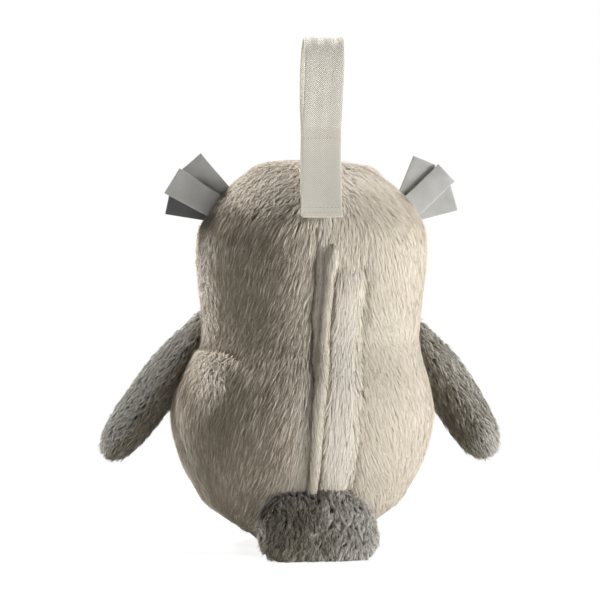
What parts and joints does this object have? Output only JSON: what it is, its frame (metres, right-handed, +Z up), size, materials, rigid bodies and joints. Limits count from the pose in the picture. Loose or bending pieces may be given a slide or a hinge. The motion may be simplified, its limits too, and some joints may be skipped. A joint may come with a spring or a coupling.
{
  "type": "plush owl",
  "caption": "Stuffed toy owl with felt ear tufts, padded wings and tail, a folding hanging strap and a rear closure over a pouch with a sound unit.",
  "frame": {"origin": "on the flat sole of the body, between the feet and the tail", "axes": "+Z up, the owl looks along -Y, its own left side is +X"},
  "size_m": [0.2626, 0.1639, 0.326],
  "materials": {
    "plush": "short clumped pile, matt",
    "dark_plush": "short pile, matt",
    "pale_plush": "short pile, matt",
    "filling": "loose fibre filling",
    "lining": "plain woven lining",
    "felt": "pressed felt, matt",
    "dark_felt": "pressed felt, matt",
    "eye": "satin stitch embroidery",
    "beak": "felt",
    "webbing": "herringbone twill webbing",
    "loop_tape": "napped loop tape",
    "hook_tape": "hook tape",
    "casing": "fine matt moulding",
    "button": "fine matt moulding",
    "speaker": "paper cone and pressed frame",
    "board": "coated board",
    "cell": "plain sleeve",
    "metal": "bare sheet and wire"
  },
  "bodies": {
    "toy": {"body_cover": "plush", "body_filling": "filling", "pouch_lining": "lining", "left_foot": "dark_plush", "right_foot": "dark_plush", "face_panel": "pale_plush", "belly_panel": "pale_plush", "left_eye_patch": "felt", "right_eye_patch": "felt", "left_eye": "eye", "right_eye": "eye", "beak": "beak", "left_tuft_upper": "felt", "left_tuft_middle": "felt", "left_tuft_lower": "dark_felt", "right_tuft_upper": "felt", "right_tuft_middle": "felt", "right_tuft_lower": "felt", "strap_sewn_strand": "webbing", "strap_loop_patch": "loop_tape", "closure_hem": "plush", "closure_underlap": "lining", "closure_loop_strip": "loop_tape", "unit_front_case": "casing", "unit_rear_case": "casing", "unit_speaker": "speaker", "unit_board": "board", "battery_left": "cell", "battery_middle": "cell", "battery_right": "cell", "battery_springs": "metal", "battery_contacts": "metal", "battery_lid": "casing", "battery_lid_screw": "metal", "case_screw_low_right": "metal", "case_screw_low_left": "metal", "case_screw_high_right": "metal", "case_screw_high_left": "metal"},
    "left_wing": {"left_wing": "dark_plush"},
    "right_wing": {"right_wing": "dark_plush"},
    "tail": {"tail": "dark_plush"},
    "closure_flap": {"closure_flap": "plush", "closure_hook_strip": "hook_tape"},
    "strap_free_end": {"strap_free_strand": "webbing", "strap_hook_patch": "hook_tape"},
    "unit_button": {"unit_button": "button"}
  },
  "joints": [
    {"name": "left_wing_lift", "type": "hinge", "parent": "toy", "child": "left_wing", "pos_m": [0.0705, 0, 0.1585], "axis": [0, -1, 0], "range_deg": [0, 70]},
    {"name": "right_wing_lift", "type": "hinge", "parent": "toy", "child": "right_wing", "pos_m": [-0.0745, 0, 0.1505], "axis": [0, 1, 0], "range_deg": [0, 70]},
    {"name": "tail_lift", "type": "hinge", "parent": "toy", "child": "tail", "pos_m": [0.0035, 0.0587, 0.0402], "axis": [1, 0, 0], "range_deg": [0, 45]},
    {"name": "closure_swing", "type": "hinge", "parent": "toy", "child": "closure_flap", "pos_m": [-0.0233, 0.0685, 0.114], "axis": [-0.055, 0, 0.9985], "range_deg": [0, 95]},
    {"name": "strap_opening", "type": "hinge", "parent": "toy", "child": "strap_free_end", "pos_m": [-0.0046, 0.0368, 0.326], "axis": [1, 0, 0], "range_deg": [0, 110]},
    {"name": "button_press", "type": "slide", "parent": "toy", "child": "unit_button", "axis": [0, -1, 0], "range_m": [0, 0.0012], "stiffness_N_per_m": 600}
  ]
}
